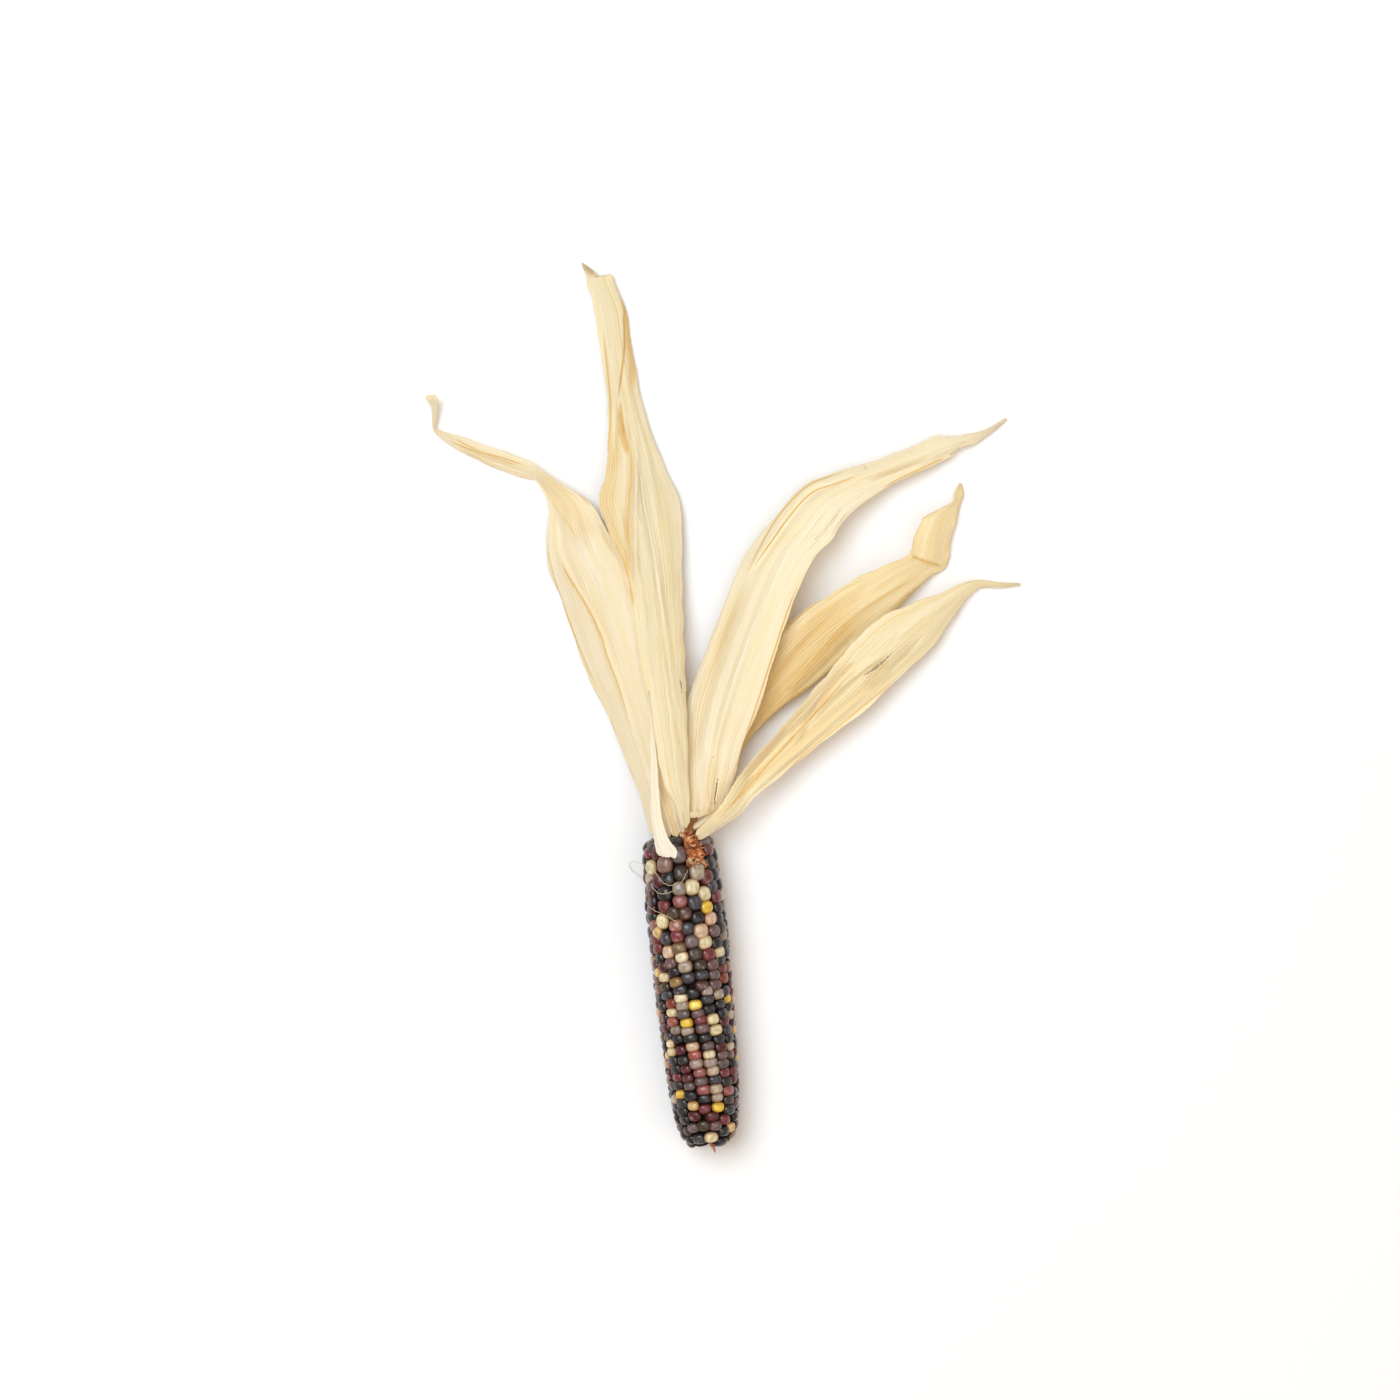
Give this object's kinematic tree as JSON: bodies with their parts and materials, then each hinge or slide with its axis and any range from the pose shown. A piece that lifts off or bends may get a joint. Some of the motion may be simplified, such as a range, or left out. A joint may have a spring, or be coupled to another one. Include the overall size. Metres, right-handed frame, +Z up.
{
  "type": "corn cob",
  "caption": "Dried ornamental corn ear with rows of many-coloured kernels, its dried husk leaves pulled back behind the stalk end, lying on its side.",
  "frame": {"origin": "centre of the bottom of the bounding box, on the surface that the ear lies on", "axes": "+Z up from the surface, -Y along the ear's axis towards its tip, +Y towards the husk leaves, +X to the side where three leaves fan out"},
  "size_m": [0.244, 0.3792, 0.0342],
  "materials": {
    "kernels": "hard waxy kernels of many colours: slate blue-black, wine red, mauve grey, cream, yellow and rust, with a satin gloss",
    "cob": "matt fibrous cob and shank, red-brown",
    "chaff": "papery orange-red bracts, matt",
    "husk": "dry papery leaf, cream to straw yellow, with fine lengthwise veins, slightly see-through at the edges",
    "silk": "dry thread, straw to brown"
  },
  "bodies": {
    "root": {"cob_core": "cob", "chaff_patch": "chaff", "kernel_row_01": "kernels", "kernel_row_02": "kernels", "kernel_row_03": "kernels", "kernel_row_04": "kernels", "kernel_row_05": "kernels", "kernel_row_06": "kernels", "kernel_row_07": "kernels", "kernel_row_08": "kernels", "kernel_row_09": "kernels", "kernel_row_10": "kernels", "kernel_row_11": "kernels", "kernel_row_12": "kernels", "kernel_row_13": "kernels", "kernel_row_14": "kernels", "kernel_row_15": "kernels", "kernel_row_16": "kernels", "shank": "cob", "tip_spike": "chaff", "husk_left": "husk", "husk_tall": "husk", "husk_strip": "husk", "husk_upper_right": "husk", "husk_middle_right": "husk", "husk_lower_right": "husk", "husk_flake": "husk", "husk_roll": "husk", "silk_1": "silk", "silk_2": "silk", "silk_3": "silk", "silk_4": "silk"}
  },
  "joints": []
}
